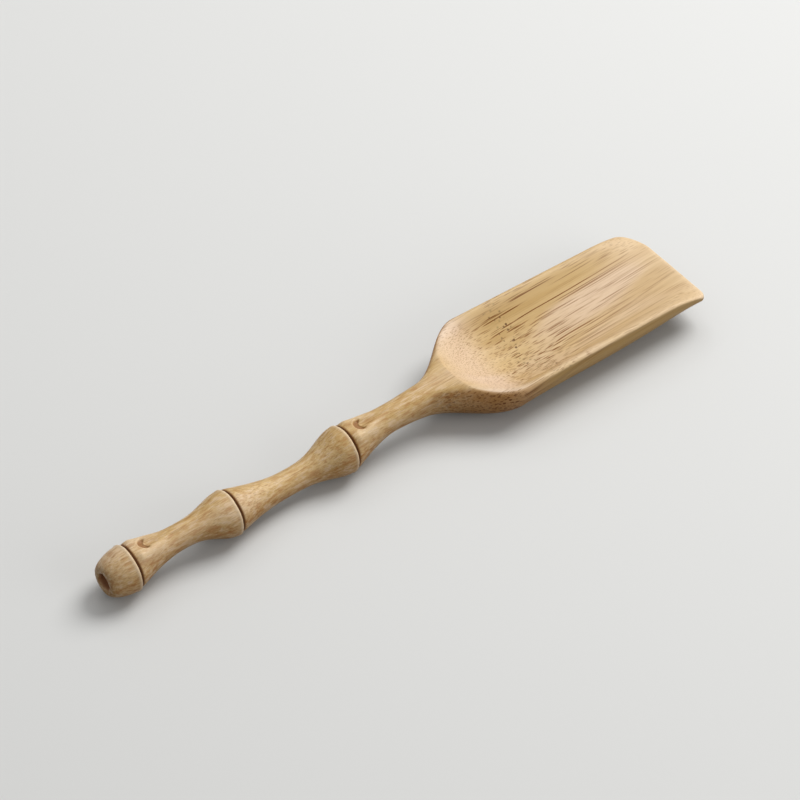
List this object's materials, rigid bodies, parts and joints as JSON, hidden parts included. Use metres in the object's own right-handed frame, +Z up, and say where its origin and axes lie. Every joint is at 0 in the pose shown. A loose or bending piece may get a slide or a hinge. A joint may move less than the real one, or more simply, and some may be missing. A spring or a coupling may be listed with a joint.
{
  "type": "tea scoop",
  "caption": "Bamboo tea-leaf scoop carved in one piece: a round handle shaped like bamboo joints that flares into a shallow open-lipped bowl.",
  "frame": {"origin": "middle of the bounding box on the table plane: half way along the scoop, on its middle line, at the height of the sole", "axes": "+X along the scoop from the tail of the handle to the lip of the bowl, +Z up out of the bowl"},
  "size_m": [0.165, 0.0292, 0.012],
  "materials": {
    "bamboo": "sanded and lightly oiled bamboo, satin"
  },
  "bodies": {
    "root": {"bamboo_scoop": "bamboo"}
  },
  "joints": []
}
